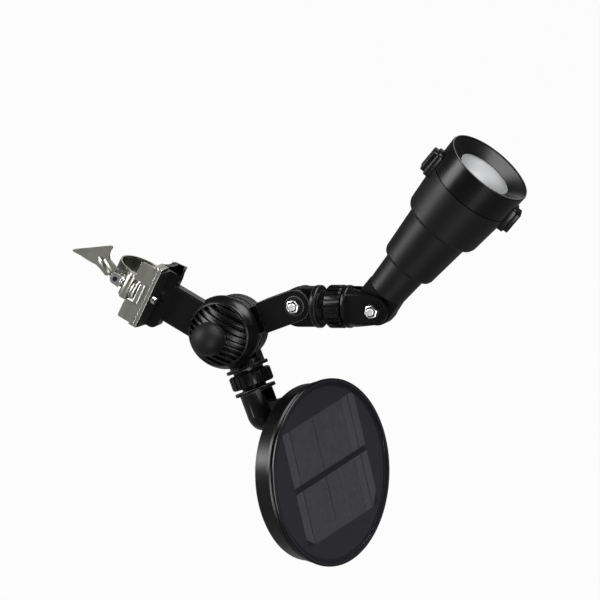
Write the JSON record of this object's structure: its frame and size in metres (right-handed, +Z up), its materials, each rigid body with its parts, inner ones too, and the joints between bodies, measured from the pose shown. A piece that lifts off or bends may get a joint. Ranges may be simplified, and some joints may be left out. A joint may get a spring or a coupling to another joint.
{
  "type": "solar flagpole light",
  "caption": "Pole-clamped solar flagpole light: ribbed hub, jointed lamp arm with a long spotlight, and a swivelling stem with a round solar panel.",
  "frame": {"origin": "on the pole's axis, at the middle of the clamp's height", "axes": "+Z up the pole, +X from the pole along the bracket arm to the hub, -Y towards the knob and the clamp screw"},
  "size_m": [0.2469, 0.1171, 0.2918],
  "materials": {
    "black_plastic": "semi-gloss moulded",
    "rubber": "matte",
    "stainless": "satin rolled",
    "zinc": "bright zinc plated",
    "brass": "turned",
    "clear_lens": "clear polished",
    "reflector": "metallised",
    "heat_sink": "die cast",
    "led_board": "white solder mask",
    "led": "silicone dome",
    "solar_window": "smoked, satin",
    "cell": "dark silicon",
    "cell_board": "black laminate",
    "battery": "shrink sleeve",
    "cradle": "moulded",
    "circuit": "green laminate"
  },
  "bodies": {
    "clamp": {"saddle": "black_plastic", "saddle_pad": "rubber", "bracket_arm": "black_plastic", "arm_screw": "zinc", "clamp_strap": "stainless", "strap_rivets": "zinc", "trunnion": "zinc", "tabbed_plate": "stainless", "fixed_plate": "stainless", "plate_rivets": "zinc", "clamp_nut": "stainless", "hub_bolt": "zinc", "hub_cap": "black_plastic", "front_washer": "rubber"},
    "screw": {"clamp_screw": "zinc", "screw_collar": "zinc", "handle_pin": "zinc"},
    "handle": {"wing_handle": "stainless"},
    "knob": {"hub_knob": "black_plastic", "knob_insert": "brass"},
    "lamp_arm": {"lamp_arm": "black_plastic", "knuckle_bolt": "zinc", "knuckle_nut": "zinc"},
    "yoke": {"yoke": "black_plastic"},
    "lamp_ring": {"lamp_lock_ring": "black_plastic"},
    "fork": {"lamp_fork": "black_plastic", "lamp_swivel_clip": "stainless", "tilt_bolt": "zinc", "tilt_nut": "zinc"},
    "lamp": {"tail_barrel": "black_plastic", "middle_barrel": "black_plastic", "head_shell": "black_plastic", "hood": "black_plastic", "hood_clips": "black_plastic", "lens": "clear_lens", "lens_gasket": "rubber", "reflector": "reflector", "led_board": "led_board", "led_emitter": "led", "heat_sink": "heat_sink"},
    "stem": {"panel_stem": "black_plastic", "rear_washer": "rubber"},
    "stem_ring": {"panel_lock_ring": "black_plastic"},
    "elbow": {"panel_elbow": "black_plastic", "elbow_clip": "stainless", "elbow_bolt": "zinc", "elbow_nut": "zinc"},
    "panel": {"panel_back": "black_plastic", "back_ring": "black_plastic", "panel_gasket": "rubber", "face_rim": "black_plastic", "solar_window": "solar_window", "cell_board": "cell_board", "solar_cells": "cell", "battery": "battery", "battery_cradle": "cradle", "control_board": "circuit", "panel_screws": "zinc"},
    "button": {"power_button": "rubber"}
  },
  "joints": [
    {"name": "screw_turn", "type": "hinge", "parent": "clamp", "child": "screw", "pos_m": [-0.0024, -0.021, 0], "axis": [1, 0, 0], "continuous": true},
    {"name": "handle_fold", "type": "hinge", "parent": "screw", "child": "handle", "pos_m": [-0.0071, -0.021, 0], "axis": [0, 1, 0], "range_deg": [-55, 45]},
    {"name": "knob_turn", "type": "hinge", "parent": "clamp", "child": "knob", "pos_m": [0.068, -0.0231, 0], "axis": [0, -1, 0], "continuous": true},
    {"name": "lamp_swing", "type": "hinge", "parent": "clamp", "child": "lamp_arm", "pos_m": [0.068, -0.0037, 0], "axis": [0, -1, 0], "range_deg": [-15, 35]},
    {"name": "knuckle_tilt", "type": "hinge", "parent": "lamp_arm", "child": "yoke", "pos_m": [0.10146, 0.0091, 0.03796], "axis": [0, -1, 0], "range_deg": [-50, 50]},
    {"name": "lamp_swivel", "type": "hinge", "parent": "yoke", "child": "fork", "pos_m": [0.12839, 0.0091, 0.05131], "axis": [0.866, 0, 0.5], "range_deg": [-120, 120]},
    {"name": "lamp_ring_turn", "type": "hinge", "parent": "yoke", "child": "lamp_ring", "pos_m": [0.12147, 0.0091, 0.04731], "axis": [0.866, 0, 0.5], "continuous": true},
    {"name": "lamp_tilt", "type": "hinge", "parent": "fork", "child": "lamp", "pos_m": [0.1496, 0.0091, 0.06217], "axis": [0, -1, 0], "range_deg": [-90, 35]},
    {"name": "panel_swing", "type": "hinge", "parent": "clamp", "child": "stem", "pos_m": [0.068, 0.0086, 0], "axis": [0, -1, 0], "range_deg": [-55, 12]},
    {"name": "panel_swivel", "type": "hinge", "parent": "stem", "child": "elbow", "pos_m": [0.09389, 0.0091, -0.02355], "axis": [0.7396, 0, -0.673], "range_deg": [-60, 60]},
    {"name": "stem_ring_turn", "type": "hinge", "parent": "stem", "child": "stem_ring", "pos_m": [0.09241, 0.0091, -0.02221], "axis": [0.7396, 0, -0.673], "continuous": true},
    {"name": "panel_tilt", "type": "hinge", "parent": "elbow", "child": "panel", "pos_m": [0.1106, 0.0091, -0.03877], "axis": [0.1799, 0.9636, 0.1977], "range_deg": [-22, 55]},
    {"name": "button_press", "type": "slide", "parent": "panel", "child": "button", "axis": [0.8169, -0.2583, 0.5157], "range_m": [0, 0.001], "stiffness_N_per_m": 600, "springref_m": -0.002}
  ]
}
